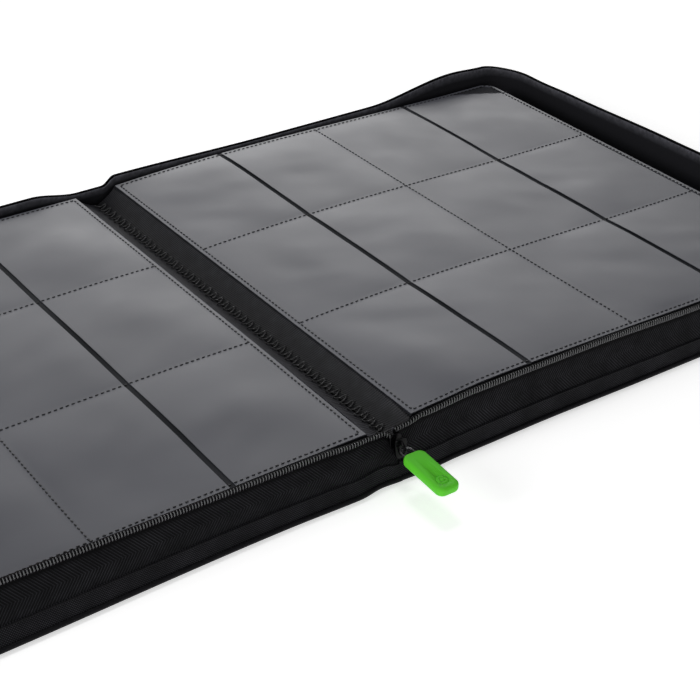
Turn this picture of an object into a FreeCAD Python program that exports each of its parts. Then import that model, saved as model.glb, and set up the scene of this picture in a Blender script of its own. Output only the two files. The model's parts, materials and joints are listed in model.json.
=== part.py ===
import FreeCAD, Part
import Sketcher
import math
import os
import re

# A zip-around soft binder for trading cards, lying open flat on its two covers.
# Frame, in millimetres: the origin is the middle of the spine's outer face, where it
# lies on the table. +X runs across the back cover's half, +Y runs along the spine away
# from the zip pull, and +Z is up. The front cover's half is the mirror image in X = 0.

DIMENSIONS = [
    ("pocket_width", 67.0, "column pitch: a 63 mm card in a side-loading pocket"),
    ("pocket_length", 94.0, "row pitch: an 88 mm card, its play and the row stitching"),
    ("leaf_margin", 2.5, "leaf beyond its outer stitch lines"),
    ("leaf_inner", 12.15, "gutter centre to the top leaf's inner edge"),
    ("leaf_stagger", 6.0, "how much further out the lowest leaf's inner edge lies"),
    ("leaf_corner", 8.0, "radius of a leaf's outer corners"),
    ("backing_thick", 0.8, "black backing cloth with its padding"),
    ("film_thick", 0.3, "clear-grey pocket film"),
    ("mouth_gap", 2.8, "bare backing along a pocket mouth"),
    ("thread_wide", 0.7, "width of a row of stitches"),
    ("thread_high", 0.2, "how far the thread stands on the film"),
    ("back_stack_top", 28.0, "top of the back cover's leaves"),
    ("back_pitch", 2.33, "spacing of the back cover's leaves"),
    ("front_stack_top", 25.8, "top of the front cover's leaves"),
    ("front_pitch", 2.1, "spacing of the front cover's leaves"),
    ("skin_thick", 0.8, "outer textured cloth"),
    ("board_thick", 2.4, "stiffening board"),
    ("lining_thick", 0.8, "inner lining"),
    ("cover_half_length", 152.0, "half the cover's length along the spine"),
    ("cover_outer", 310.0, "spine centre to the cover's fore edge"),
    ("cover_inner", 29.0, "spine centre to where a cover panel starts"),
    ("cover_corner", 25.0, "outer corner radius at the fore edge"),
    ("board_inset", 1.5, "board's edge inside the skin's edge"),
    ("hinge_offset", 27.3, "spine centre to each fold line"),
    ("spine_half_board", 18.0, "half the width of the spine board"),
    ("spine_half_skin", 27.0, "half the width of the skin over the spine"),
    ("wall_thick", 1.4, "woven gusset wall"),
    ("wall_top", 23.0, "top of the gusset, where the zip tape starts"),
    ("wall_lean", 5.0, "how far the wall leans in by its top"),
    ("wall_inner_corner", 17.0, "inside corner radius at the foot of the wall"),
    ("wall_inner_corner_top", 14.5, "inside corner radius at the top of the wall"),
    ("wall_start", 30.0, "spine centre to the end of each side wall"),
    ("tape_thick", 1.2, "zip tape"),
    ("tape_top", 29.0, "top of the zip tape"),
    ("teeth_thick", 2.1, "nylon coil, across"),
    ("teeth_top", 31.0, "top of the coil"),
    ("piping_thick", 1.0, "edge binding round each cover"),
    ("piping_base", 0.5, "underside of the binding"),
    ("piping_high", 3.0, "height of the binding"),
    ("seam_depth", 18.0, "height of the zigzag seam at the bottom of the gutter"),
    ("seam_wide", 1.4, "thickness of the zigzag seam's ridge"),
    ("strip_thick", 1.2, "ribbed hinge strip"),
    ("strip_gap", 0.4, "hinge strip clear of leaf and seam"),
    ("gusset_y", 148.0, "inner face of a spine-end gusset"),
    ("gusset_thick", 1.4, "spine-end gusset cloth"),
    ("gusset_top", 22.0, "top of a spine-end gusset"),
    ("gusset_open", 20.0, "half-opening of the gussets' V at its top"),
    ("gusset_base", 4.3, "foot of a spine-end gusset"),
    ("stop_wide", 5.0, "zip end stop, across"),
    ("stop_high", 3.0, "zip end stop, height"),
    ("stop_base", 9.0, "underside of a zip end stop"),
    ("slider_y", 147.4, "spine centre to the slider's inner plate"),
    ("slider_z", 18.5, "height of the slider's middle at rest"),
    ("slider_wide", 9.0, "slider body, across"),
    ("slider_long", 11.0, "slider body, along the coil"),
    ("plate_thick", 1.3, "each of the slider's two plates"),
    ("channel_thick", 2.9, "coil channel between the plates"),
    ("post_wide", 2.4, "wedge post that parts the coils"),
    ("bridge_ring", 3.0, "radius of the bridge's arch"),
    ("bridge_wire", 0.7, "radius of the bridge's bar"),
    ("pivot_out", 1.4, "slider's face to the puller's turning axis"),
    ("loop_ring", 3.0, "half the width of the puller's wire loop"),
    ("loop_wire", 0.6, "radius of the loop's wire"),
    ("loop_long", 14.0, "straight run of the loop's wire"),
    ("grip_start", 6.0, "turning axis to the grip"),
    ("grip_long", 29.5, "length of the grip"),
    ("grip_wide", 11.8, "width of the grip"),
    ("grip_thick", 4.5, "thickness of the grip"),
    ("grip_corner", 3.0, "corner radius of the grip"),
    ("mark_size", 4.5, "plain square debossed near the grip's end"),
    ("mark_depth", 0.4, "depth of the debossed square"),
    ("droop", 2.5, "angle by which the pull hangs below level"),
]
LEAVES_BELOW = 9

doc = FreeCAD.newDocument("card_binder")
dims = doc.addObject("Spreadsheet::Sheet", "Dims")
for row, (alias, number, note) in enumerate(DIMENSIONS, start=1):
    dims.set(f"A{row}", note)
    dims.set(f"B{row}", str(number))
    dims.setAlias(f"B{row}", alias)
doc.recompute()

ALIASES = re.compile(r"\b(" + "|".join(alias for alias, number, note in DIMENSIONS) + r")\b")
NODES = []


def bound(text):
    """An expression with each dimension's name pointing at its cell."""
    return ALIASES.sub(r"Dims.\1", text)


def bind(item, **sizes):
    """Bind properties to expressions; a double underscore stands for a dot."""
    for name, text in sizes.items():
        item.setExpression(name.replace("__", "."), bound(text))
    return item


def place(item, x="0", y="0", z="0"):
    """Bind an object's position."""
    return bind(item, Placement__Base__x=x, Placement__Base__y=y, Placement__Base__z=z)


def node(item, label):
    """Name an object as one of the binder's sub-parts."""
    item.Label = label
    NODES.append(item)
    return item


def block(name, x, y, z, length, width, height):
    """A box from its low corner and its three sizes."""
    item = doc.addObject("Part::Box", name)
    bind(item, Length=length, Width=width, Height=height)
    return place(item, x, y, z)


def slanted(name, foot, head, side, base, top):
    """A plate whose X range changes from foot to head; side is its Y range."""
    item = doc.addObject("Part::Wedge", name)
    bind(item, Xmin=foot[0], Xmax=foot[1], X2min=head[0], X2max=head[1])
    bind(item, Ymin=base, Ymax=top)
    bind(item, Zmin=f"-({side[1]})", Zmax=f"-({side[0]})")
    bind(item, Z2min=f"-({side[1]})", Z2max=f"-({side[0]})")
    item.Placement = FreeCAD.Placement(
        FreeCAD.Vector(0, 0, 0), FreeCAD.Rotation(FreeCAD.Vector(1, 0, 0), 90))
    return item


def joined(name, items, kind="Part::MultiFuse"):
    """Several shapes fused, or kept as separate solids in a Part::Compound."""
    item = doc.addObject(kind, name)
    if kind == "Part::Compound":
        item.Links = items
    else:
        item.Shapes = items
    return item


def cut(name, base, tool):
    """One shape cut by another."""
    item = doc.addObject("Part::Cut", name)
    item.Base = base
    item.Tool = tool
    return item


def mirrored(source, name):
    """The front half's copy of a back half piece."""
    item = doc.addObject("Part::Mirroring", name)
    item.Source = source
    item.Base = FreeCAD.Vector(0, 0, 0)
    item.Normal = FreeCAD.Vector(1, 0, 0)
    return item


def origin_plane(body, role):
    """A body's own origin plane, found by its role."""
    return next(plane for plane in body.Origin.OriginFeatures if plane.Role == role)


def outline(body, name, start, outer, half, corner, level="0"):
    """A flat outline: square at X = start, with two rounded corners at X = outer."""
    sketch = body.newObject("Sketcher::SketchObject", name)
    sketch.AttachmentSupport = (origin_plane(body, "XY_Plane"), "")
    sketch.MapMode = "FlatFace"
    bind(sketch, AttachmentOffset__Base__z=level)
    x0, x1, y1, r = 30.0, 300.0, 140.0, 10.0
    point = FreeCAD.Vector
    up = FreeCAD.Vector(0, 0, 1)
    quarter = math.pi / 2
    sketch.addGeometry([
        Part.LineSegment(point(x0, -y1, 0), point(x1 - r, -y1, 0)),
        Part.ArcOfCircle(Part.Circle(point(x1 - r, r - y1, 0), up, r), -quarter, 0),
        Part.LineSegment(point(x1, r - y1, 0), point(x1, y1 - r, 0)),
        Part.ArcOfCircle(Part.Circle(point(x1 - r, y1 - r, 0), up, r), 0, quarter),
        Part.LineSegment(point(x1 - r, y1, 0), point(x0, y1, 0)),
        Part.LineSegment(point(x0, y1, 0), point(x0, -y1, 0)),
    ], False)
    rule = Sketcher.Constraint
    sketch.addConstraint([rule("Tangent", edge, 2, edge + 1, 1) for edge in range(4)])
    sketch.addConstraint([rule("Coincident", 4, 2, 5, 1), rule("Coincident", 5, 2, 0, 1)])
    sketch.addConstraint([rule("Horizontal", 0), rule("Horizontal", 4)])
    sketch.addConstraint([rule("Vertical", 2), rule("Equal", 1, 3)])
    sketch.addConstraint(rule("Symmetric", 5, 1, 5, 2, -1))
    driven = [
        (rule("DistanceX", -1, 1, 0, 1, x0), start),
        (rule("DistanceX", -1, 1, 2, 1, x1), outer),
        (rule("DistanceY", -1, 1, 5, 1, y1), half),
        (rule("Radius", 1, r), corner),
    ]
    for constraint, text in driven:
        index = sketch.addConstraint(constraint)
        sketch.setExpression(f"Constraints[{index}]", bound(text))
    return sketch


def plate(name, start, outer, half, corner, base, thick):
    """A flat panel with rounded fore-edge corners."""
    body = doc.addObject("PartDesign::Body", name)
    sketch = outline(body, name + "_outline", start, outer, half, corner)
    pad = body.newObject("PartDesign::Pad", name + "_pad")
    pad.Profile = sketch
    bind(pad, Length=thick)
    return place(body, z=base)


def band(name, start, outer, half, corner, thick, base, high):
    """An upright band of one thickness round three sides of a half."""
    body = plate(name, start, outer, half, corner, base, high)
    inner = outline(body, name + "_inside", f"({start}) - 5", f"({outer}) - ({thick})",
                    f"({half}) - ({thick})", f"({corner}) - ({thick})")
    pocket = body.newObject("PartDesign::Pocket", name + "_pocket")
    pocket.Profile = inner
    pocket.Type = 0
    pocket.Reversed = True
    bind(pocket, Length=high)
    return body


def leaning_wall(name):
    """The gusset wall of the back half: it leans in towards its top."""
    body = doc.addObject("PartDesign::Body", name)
    foot = "skin_thick + board_thick + lining_thick"
    rise = f"wall_top - ({foot})"
    levels = [("0", "0", "cover_corner", "wall_inner_corner"),
              (rise, "wall_lean", "wall_inner_corner_top + 2 * wall_thick", "wall_inner_corner_top")]
    rings = {"outside": [], "inside": []}
    for level, lean, corner, inner_corner in levels:
        rings["outside"].append(outline(
            body, f"{name}_outside", "wall_start", f"cover_outer - ({lean})",
            f"cover_half_length - ({lean})", corner, level))
        rings["inside"].append(outline(
            body, f"{name}_inside", "wall_start - 5", f"cover_outer - wall_thick - ({lean})",
            f"cover_half_length - wall_thick - ({lean})", inner_corner, level))
    for ring, kind in (("outside", "Additive"), ("inside", "Subtractive")):
        loft = body.newObject(f"PartDesign::{kind}Loft", f"{name}_{ring}_loft")
        loft.Profile = rings[ring][0]
        loft.Sections = rings[ring][1:]
        loft.Ruled = True
    return place(body, z=foot)


def cover_half():
    """The back cover's panel, wall, tape, coil and binding, and their front copies."""
    board_half = "cover_half_length - board_inset"
    board_outer = "cover_outer - board_inset"
    board_corner = "cover_corner - board_inset"
    board_base = "skin_thick"
    lining_base = "skin_thick + board_thick"
    binding_outer = "cover_outer + piping_thick + 0.05"
    binding_half = "cover_half_length + piping_thick + 0.05"
    tape_outer = "cover_outer - wall_lean"
    tape_half = "cover_half_length - wall_lean"
    tape_corner = "wall_inner_corner_top + tape_thick"
    pieces = {
        "cover_outer_skin": plate("skin", "cover_inner", "cover_outer", "cover_half_length",
                                  "cover_corner", "0", "skin_thick"),
        "cover_board": plate("board", "cover_inner", board_outer, board_half, board_corner,
                             board_base, "board_thick"),
        "cover_lining": plate("lining", "cover_inner", board_outer, board_half, board_corner,
                              lining_base, "lining_thick"),
        "cover_piping": band("piping", "cover_inner", binding_outer, binding_half,
                             "cover_corner + piping_thick", "piping_thick", "piping_base",
                             "piping_high"),
        "wall_gusset": leaning_wall("wall"),
        "zip_tape": band("tape", "wall_start", tape_outer, tape_half, tape_corner,
                         "tape_thick", "wall_top", "tape_top - wall_top"),
        "zip_teeth": band("teeth", "wall_start", tape_outer, tape_half,
                          "wall_inner_corner_top + teeth_thick", "teeth_thick", "tape_top",
                          "teeth_top - tape_top"),
    }
    for label, piece in pieces.items():
        node(piece, f"back_{label}")
        node(mirrored(piece, f"front_{label}_copy"), f"front_{label}")


def leaf_span(step):
    """Inner and outer X of the leaf that lies this many leaves below the top one."""
    inner = f"leaf_inner + leaf_stagger * {(step / LEAVES_BELOW) ** 3:.5f}"
    return inner, f"{inner} + 4 * pocket_width + 2 * leaf_margin"


def leaf_panel(name, step, base, thick):
    """One layer of a leaf."""
    inner, outer = leaf_span(step)
    half = "1.5 * pocket_length + leaf_margin"
    return plate(name, inner, outer, half, "leaf_corner", base, thick)


def pocket_films(name, step, base):
    """The three film strips of one face, parted at the pocket mouths."""
    inner, outer = leaf_span(step)
    mouths = []
    for column in (1, 3):
        start = f"{inner} + leaf_margin + {column} * pocket_width - mouth_gap / 2"
        mouths.append(block(f"{name}_mouth", start, "-2 * pocket_length", f"({base}) - 1",
                            "mouth_gap", "4 * pocket_length", "film_thick + 2"))
    sheet = leaf_panel(f"{name}_sheet", step, base, "film_thick")
    return cut(name, sheet, joined(f"{name}_mouths", mouths))


def seam_threads(name, base):
    """The stitch rows along and across the top leaf, as one thin raised grid."""
    inner, outer = leaf_span(0)
    rows = []
    for column in (0, 2, 4):
        start = f"{inner} + leaf_margin + {column} * pocket_width - thread_wide / 2"
        rows.append(block(f"{name}_run", start, "-1.5 * pocket_length", base,
                          "thread_wide", "3 * pocket_length", "thread_high"))
    for row in range(4):
        start = f"{row} * pocket_length - 1.5 * pocket_length - thread_wide / 2"
        rows.append(block(f"{name}_row", f"{inner} + leaf_margin", start, base,
                          "4 * pocket_width", "thread_wide", "thread_high"))
    return joined(name, rows)


def leaf_stack(side):
    """The top leaf in its layers, and the leaves below it."""
    def finish(piece, label):
        if side == "front":
            piece = mirrored(piece, f"{label}_copy")
        return node(piece, label)

    turned = {"back": "right", "front": "left"}[side]
    leaf_thick = "(backing_thick + 2 * film_thick)"
    base = f"{side}_stack_top - {leaf_thick}"
    upper = f"{base} + film_thick + backing_thick"
    finish(pocket_films(f"{side}_top_under", 0, base), f"{turned}_leaf_under_pockets")
    backing = leaf_panel(f"{side}_top_backing", 0, f"{base} + film_thick", "backing_thick")
    finish(backing, f"{turned}_leaf_backing")
    finish(pocket_films(f"{side}_top_films", 0, upper), f"{turned}_leaf_top_pockets")
    finish(seam_threads(f"{side}_threads", f"{side}_stack_top"), f"{turned}_leaf_stitching")
    films = []
    for step in range(1, LEAVES_BELOW + 1):
        low = f"{base} - {step} * {side}_pitch"
        middle = f"{low} + film_thick"
        films.append(pocket_films(f"{side}_under_{step}", step, low))
        backing = leaf_panel(f"{side}_backing_{step}", step, middle, "backing_thick")
        finish(backing, f"{side}_leaf_backing_{step}")
        films.append(pocket_films(f"{side}_over_{step}", step, f"{middle} + backing_thick"))
    finish(joined(f"{side}_films", films, "Part::Compound"), f"{side}_leaf_pockets")


def spine_panel():
    """The spine's skin, board and lining, set back from the two fold lines."""
    layers = [
        ("spine_outer_skin", "spine_half_skin", "cover_half_length", "0", "skin_thick"),
        ("spine_board", "spine_half_board", "cover_half_length - board_inset",
         "skin_thick", "board_thick"),
        ("spine_lining", "spine_half_board", "cover_half_length - board_inset",
         "skin_thick + board_thick", "lining_thick"),
    ]
    for label, half_width, half_length, base, thick in layers:
        node(block(label + "_block", f"-{half_width}", f"-({half_length})", base,
                   f"2 * {half_width}", f"2 * ({half_length})", thick), label)


def gutter():
    """The two hinge strips of the gutter and the zigzag seam at its bottom."""
    half = "1.5 * pocket_length + leaf_margin"
    near_seam = "seam_wide / 2 + strip_gap"
    near_leaf = "leaf_inner - strip_gap"
    for label, top in (("right", "back_stack_top"), ("left", "front_stack_top")):
        head = (f"{near_leaf} - strip_thick", near_leaf)
        strip = slanted(f"{label}_strip", (near_seam, f"{near_seam} + strip_thick"), head,
                        (f"-({half})", half), "seam_depth", f"{top} - film_thick")
        if label == "left":
            strip = mirrored(strip, "left_strip_copy")
        node(strip, f"{label}_hinge_strip")
    seam = block("seam", "-seam_wide / 2", f"-({half})", "seam_depth - seam_wide / 2",
                 "seam_wide", f"2 * ({half})", "seam_wide")
    node(seam, "zigzag_seam")


def spine_ends():
    """At each end of the spine: the folded gusset's two halves and a zip stop."""
    for end in ("near", "far"):
        low = "-(gusset_y + gusset_thick)" if end == "near" else "gusset_y"
        high = "-gusset_y" if end == "near" else "gusset_y + gusset_thick"
        half = slanted(f"{end}_gusset", ("0.2", "cover_inner - 1"),
                       ("gusset_open", "cover_inner - 1"), (low, high),
                       "gusset_base", "gusset_top")
        node(half, f"{end}_gusset_back_side")
        node(mirrored(half, f"{end}_gusset_copy"), f"{end}_gusset_front_side")
        node(block(f"{end}_stop", "-stop_wide / 2", low, "stop_base", "stop_wide",
                   "gusset_thick", "stop_high"), f"{end}_zip_stop")


def slider():
    """Two plates joined by a post, with an arched bridge for the puller."""
    across = "-slider_wide / 2"
    low = "slider_z - slider_long / 2"
    body_deep = "(2 * plate_thick + channel_thick)"
    inner = block("inner_plate", across, "-slider_y - plate_thick", low,
                  "slider_wide", "plate_thick", "slider_long")
    outer = block("outer_plate", across, f"-slider_y - {body_deep}", low,
                  "slider_wide", "plate_thick", "slider_long")
    post = block("post", "-post_wide / 2", f"-slider_y - {body_deep} + plate_thick / 2", low,
                 "post_wide", "channel_thick + plate_thick", "slider_long / 2")
    node(joined("slider_plates", [inner, outer, post]), "slider_body")
    ring = doc.addObject("Part::Torus", "bridge_ring_bar")
    bind(ring, Radius1="bridge_ring", Radius2="bridge_wire")
    ring.Placement.Rotation = FreeCAD.Rotation(FreeCAD.Vector(0, 1, 0), 90)
    place(ring, y=f"-slider_y - {body_deep}", z="slider_z")
    keep = block("bridge_half", "-bridge_ring", f"-slider_y - {body_deep} - 2 * bridge_ring",
                 "slider_z - 2 * bridge_ring", "2 * bridge_ring", "2 * bridge_ring",
                 "4 * bridge_ring")
    bridge = doc.addObject("Part::Common", "bridge")
    bridge.Base = ring
    bridge.Tool = keep
    node(bridge, "slider_bridge")


def puller():
    """A wire loop through the bridge, and a soft grip moulded on its open end."""
    loop_parts = []
    for name, side in (("left", "-loop_ring"), ("right", "loop_ring")):
        rod = doc.addObject("Part::Cylinder", f"{name}_rod")
        bind(rod, Radius="loop_wire", Height="loop_long")
        rod.Placement.Rotation = FreeCAD.Rotation(FreeCAD.Vector(1, 0, 0), 90)
        loop_parts.append(place(rod, x=side, y="-loop_ring"))
    bow = doc.addObject("Part::Torus", "loop_bow")
    bind(bow, Radius1="loop_ring", Radius2="loop_wire")
    bow.Angle3 = 180
    loop_parts.append(place(bow, y="-loop_ring"))
    loop = joined("loop", loop_parts)

    grip = doc.addObject("PartDesign::Body", "grip")
    sketch = grip.newObject("Sketcher::SketchObject", "grip_outline")
    sketch.AttachmentSupport = (origin_plane(grip, "XY_Plane"), "")
    sketch.MapMode = "FlatFace"
    draw_rectangle(sketch, "grip_wide / 2", "grip_start", "grip_start + grip_long")
    pad = grip.newObject("PartDesign::Pad", "grip_pad")
    pad.Profile = sketch
    pad.SideType = "Symmetric"
    bind(pad, Length="grip_thick")
    mark = grip.newObject("Sketcher::SketchObject", "mark_outline")
    mark.AttachmentSupport = (origin_plane(grip, "XY_Plane"), "")
    mark.MapMode = "FlatFace"
    bind(mark, AttachmentOffset__Base__z="grip_thick / 2")
    mark_end = "grip_start + grip_long - mark_size"
    draw_rectangle(mark, "mark_size / 2", f"{mark_end} - mark_size", mark_end)
    pocket = grip.newObject("PartDesign::Pocket", "mark_pocket")
    pocket.Profile = mark
    bind(pocket, Length="mark_depth")
    doc.recompute()
    corners = upright_edges(pocket.Shape)
    rounding = grip.newObject("PartDesign::Fillet", "grip_rounding")
    rounding.Base = (pocket, corners)
    bind(rounding, Radius="grip_corner")

    for piece, label in ((loop, "puller_loop"), (grip, "pull_grip")):
        piece.Placement.Rotation = FreeCAD.Rotation(
            FreeCAD.Vector(1, 0, 0), dims.get("droop"))
        place(piece, y="-slider_y - 2 * plate_thick - channel_thick - pivot_out", z="slider_z")
        node(piece, label)


def draw_rectangle(sketch, half, near, far):
    """A rectangle centred on X = 0, from Y = -near to Y = -far."""
    corners = [(-5, -10), (5, -10), (5, -40), (-5, -40)]
    points = [FreeCAD.Vector(x, y, 0) for x, y in corners]
    rule = Sketcher.Constraint
    for start, end in zip(points, points[1:] + points[:1]):
        sketch.addGeometry(Part.LineSegment(start, end), False)
    for edge in range(4):
        sketch.addConstraint(rule("Coincident", edge, 2, (edge + 1) % 4, 1))
    sketch.addConstraint([rule("Vertical", 1), rule("Horizontal", 2), rule("Vertical", 3)])
    sketch.addConstraint(rule("Symmetric", 0, 1, 0, 2, -2))
    driven = [
        (rule("DistanceX", -1, 1, 0, 2, 5.0), half),
        (rule("DistanceY", 0, 2, -1, 1, 10.0), near),
        (rule("DistanceY", 2, 2, -1, 1, 40.0), far),
    ]
    for constraint, text in driven:
        index = sketch.addConstraint(constraint)
        sketch.setExpression(f"Constraints[{index}]", bound(text))


def upright_edges(shape):
    """Names of the grip's four upright corner edges, leaving out the mark's."""
    names = []
    for number, edge in enumerate(shape.Edges, start=1):
        start, end = edge.Vertexes[0].Point, edge.Vertexes[-1].Point
        upright = abs(start.z - end.z) > dims.get("grip_thick") / 2
        if upright and abs(start.x) > dims.get("mark_size") / 2 + 1:
            names.append(f"Edge{number}")
    return names


def check(items):
    """Stop if any object failed, or any sub-part has no sound shape."""
    for item in doc.Objects:
        if "Invalid" in item.State or "Error" in item.State:
            raise RuntimeError(f"{item.Label} failed: {item.State}")
    for item in items:
        if item.Shape.isNull() or not item.Shape.isValid():
            raise RuntimeError(f"{item.Label} has no sound shape")
        if not item.Shape.Solids:
            raise RuntimeError(f"{item.Label} holds no solid")


cover_half()
spine_panel()
spine_ends()
gutter()
leaf_stack("back")
leaf_stack("front")
slider()
puller()
doc.recompute()
check(NODES)

os.makedirs("parts", exist_ok=True)
for item in NODES:
    item.Shape.exportStep(f"parts/{item.Label}.step")
    print(f"{item.Label}: {len(item.Shape.Solids)} solids, {item.Shape.Volume:.0f} mm3")
print(len(NODES), "sub-parts")
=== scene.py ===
import json
import math
import bmesh
import bpy
import numpy as np
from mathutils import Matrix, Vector, noise


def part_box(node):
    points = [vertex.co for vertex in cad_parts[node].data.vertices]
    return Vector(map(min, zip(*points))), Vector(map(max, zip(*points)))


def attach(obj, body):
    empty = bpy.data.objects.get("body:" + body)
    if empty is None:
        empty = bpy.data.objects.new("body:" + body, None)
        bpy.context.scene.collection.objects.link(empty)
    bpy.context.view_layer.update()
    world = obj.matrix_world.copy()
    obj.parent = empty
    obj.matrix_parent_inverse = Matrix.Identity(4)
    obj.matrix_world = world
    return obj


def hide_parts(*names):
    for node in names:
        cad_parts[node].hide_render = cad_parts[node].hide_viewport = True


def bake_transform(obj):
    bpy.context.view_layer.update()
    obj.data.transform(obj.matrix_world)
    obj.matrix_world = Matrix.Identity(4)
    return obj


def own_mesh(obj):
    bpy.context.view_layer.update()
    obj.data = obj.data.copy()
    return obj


# A zip-around card binder lying open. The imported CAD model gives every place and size.
# Lengths in this script are millimetres, turned into metres where a mesh is made.

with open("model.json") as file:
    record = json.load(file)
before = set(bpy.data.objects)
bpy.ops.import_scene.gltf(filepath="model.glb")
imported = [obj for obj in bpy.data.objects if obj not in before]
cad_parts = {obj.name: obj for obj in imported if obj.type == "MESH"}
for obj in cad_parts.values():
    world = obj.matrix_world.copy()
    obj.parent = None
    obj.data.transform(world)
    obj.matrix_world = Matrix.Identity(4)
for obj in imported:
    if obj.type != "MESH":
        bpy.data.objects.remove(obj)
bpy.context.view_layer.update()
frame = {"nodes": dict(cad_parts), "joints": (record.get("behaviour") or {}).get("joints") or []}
MM = 0.001
HALVES = {"back": 1, "front": -1}
TURNED = {"back": "right_top_leaf", "front": "left_top_leaf"}
LEAF_NAME = {"back": "right", "front": "left"}
LOWER_LEAVES = 9


def corners(node):
    """A node's lowest and highest corners at rest, in millimetres."""
    low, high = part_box(node)
    return np.array(low) / MM, np.array(high) / MM


# ---------------- driving sizes
leaf_low, leaf_high = corners("right_leaf_backing")
LEAF_INNER = leaf_low[0]
LEAF_HALF = leaf_high[1]
LEAF_WIDE, BACKING_THICK = (leaf_high - leaf_low)[[0, 2]]
FILM_THICK = 0.3
FILM_EDGE = 0.35         # the film's edge stops this far inside the backing's
FILM_CLEAR = 0.04        # and the film lies this far off it
LEAF_CORNER = 9.0
MARGIN = 2.5
POCKET_WIDE = (LEAF_WIDE - 2 * MARGIN) / 4
POCKET_LONG = (2 * LEAF_HALF - 2 * MARGIN) / 3
MOUTH_GAP = 3.0
STITCH_PITCH = 3.0

skin_low, skin_high = corners("back_cover_outer_skin")
COVER_EDGE, COVER_HALF = skin_high[:2]
SKIN_THICK = skin_high[2] - skin_low[2]
COVER_FLOOR = corners("back_wall_gusset")[0][2]
RIM_X, RIM_Y, RIM_Z = corners("back_zip_tape")[1]
RIM_CORNER = 18.0
LEAN = COVER_EDGE - RIM_X
TAPE_FOOT = 11.0
SEAM_Z = sum(corner[2] for corner in corners("zigzag_seam")) / 2


# ---------------- node helpers
class Nodes:
    """Short names for building a tree of nodes."""

    def __init__(self, tree):
        self.tree = tree

    def link(self, source, socket):
        self.tree.links.new(source, socket)

    def coordinates(self, kind="Object"):
        return self.tree.nodes.new("ShaderNodeTexCoord").outputs[kind]

    def node(self, kind, **inputs):
        """A node with its inputs set to numbers or linked to other nodes' outputs."""
        node = self.tree.nodes.new(f"ShaderNode{kind}")
        for key, value in inputs.items():
            socket = node.inputs[key.replace("_", " ")]
            if isinstance(value, (int, float)):
                socket.default_value = value
            else:
                self.link(value, socket)
        return node

    def axes(self, kind="Object"):
        """The first two axes of a coordinate, in metres."""
        return self.node("SeparateXYZ", Vector=self.coordinates(kind)).outputs[:2]

    def math(self, operation, *values):
        node = self.tree.nodes.new("ShaderNodeMath")
        node.operation = operation
        for index, value in enumerate(values):
            if isinstance(value, (int, float)):
                node.inputs[index].default_value = value
            else:
                self.link(value, node.inputs[index])
        return node.outputs[0]

    def times(self, a, b):
        return self.math("MULTIPLY", a, b)

    def clamp(self, value, low=0.0):
        return self.math("MINIMUM", self.math("MAXIMUM", value, low), 1.0)

    def noise(self, scale, detail=2.0):
        node = self.node("TexNoise", Scale=scale, Detail=detail, Vector=self.coordinates())
        return node.outputs["Fac"]


class Material(Nodes):
    """A material of one Principled shader."""

    def __init__(self, name, colour, roughness, specular=0.5, **sockets):
        self.material = bpy.data.materials.new(name)
        self.material.use_nodes = True
        super().__init__(self.material.node_tree)
        self.shader = self.tree.nodes["Principled BSDF"]
        self.colour = colour
        sockets.update(Base_Color=(*colour, 1), Roughness=roughness, Specular_IOR_Level=specular)
        for key, value in sockets.items():
            self.shader.inputs[key.replace("_", " ")].default_value = value

    def tint(self, value, low, high):
        """Vary the base colour between two multiples of itself."""
        mix = self.tree.nodes.new("ShaderNodeMix")
        mix.data_type = "RGBA"
        mix.inputs["A"].default_value = (*[c * low for c in self.colour], 1)
        mix.inputs["B"].default_value = (*[c * high for c in self.colour], 1)
        self.link(value, mix.inputs["Factor"])
        self.link(mix.outputs["Result"], self.shader.inputs["Base Color"])

    def rough(self, value, low, high):
        spread = self.node("MapRange", Value=value, To_Min=low, To_Max=high)
        self.link(spread.outputs[0], self.shader.inputs["Roughness"])

    def bump(self, height, depth_mm, strength=1.0):
        node = self.node("Bump", Strength=strength, Distance=depth_mm * MM, Height=height)
        previous = self.shader.inputs["Normal"].links
        if previous:
            self.link(previous[0].from_socket, node.inputs["Normal"])
        self.link(node.outputs["Normal"], self.shader.inputs["Normal"])


def stripes(nodes, value, pitch_mm):
    """A sine across a coordinate given in metres, from 0 to 1."""
    turned = nodes.times(value, 2 * math.pi / (pitch_mm * MM))
    return nodes.math("MULTIPLY_ADD", nodes.math("SINE", turned), 0.5, 0.5)


# ---------------- materials
def grained(name, colour, roughness, tint=None, rough=None, bumps=(), **sockets):
    """A material that varies by noise: each noise's scale and detail, then the low and
    high ends of the tint or roughness, or a bump's depth in mm and its strength."""
    m = Material(name, colour, roughness, **sockets)
    for scale, detail, depth, strength in bumps:
        m.bump(m.noise(scale, detail), depth, strength)
    if tint:
        m.tint(m.noise(*tint[:2]), *tint[2:])
    if rough:
        m.rough(m.noise(*rough[:2]), *rough[2:])
    return m.material


def leaf_cloth_material():
    """Black backing cloth of the leaves."""
    m = Material("leaf_cloth", (0.016, 0.017, 0.022), 0.75, specular=0.3)
    across, along = m.axes()
    weave = m.times(stripes(m, across, 0.5), stripes(m, along, 0.5))
    m.bump(weave, 0.08, 0.8)
    m.tint(weave, 0.6, 1.5)
    return m.material


TAPE_POINT_Z = 18.6      # where the herringbone's ribs meet
TAPE_PLAIN_Z = 25.8      # where its plain band starts
RIB_SLANT, RIB_PITCH, YARN_PITCH = 0.9, 1.55, 0.42


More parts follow.
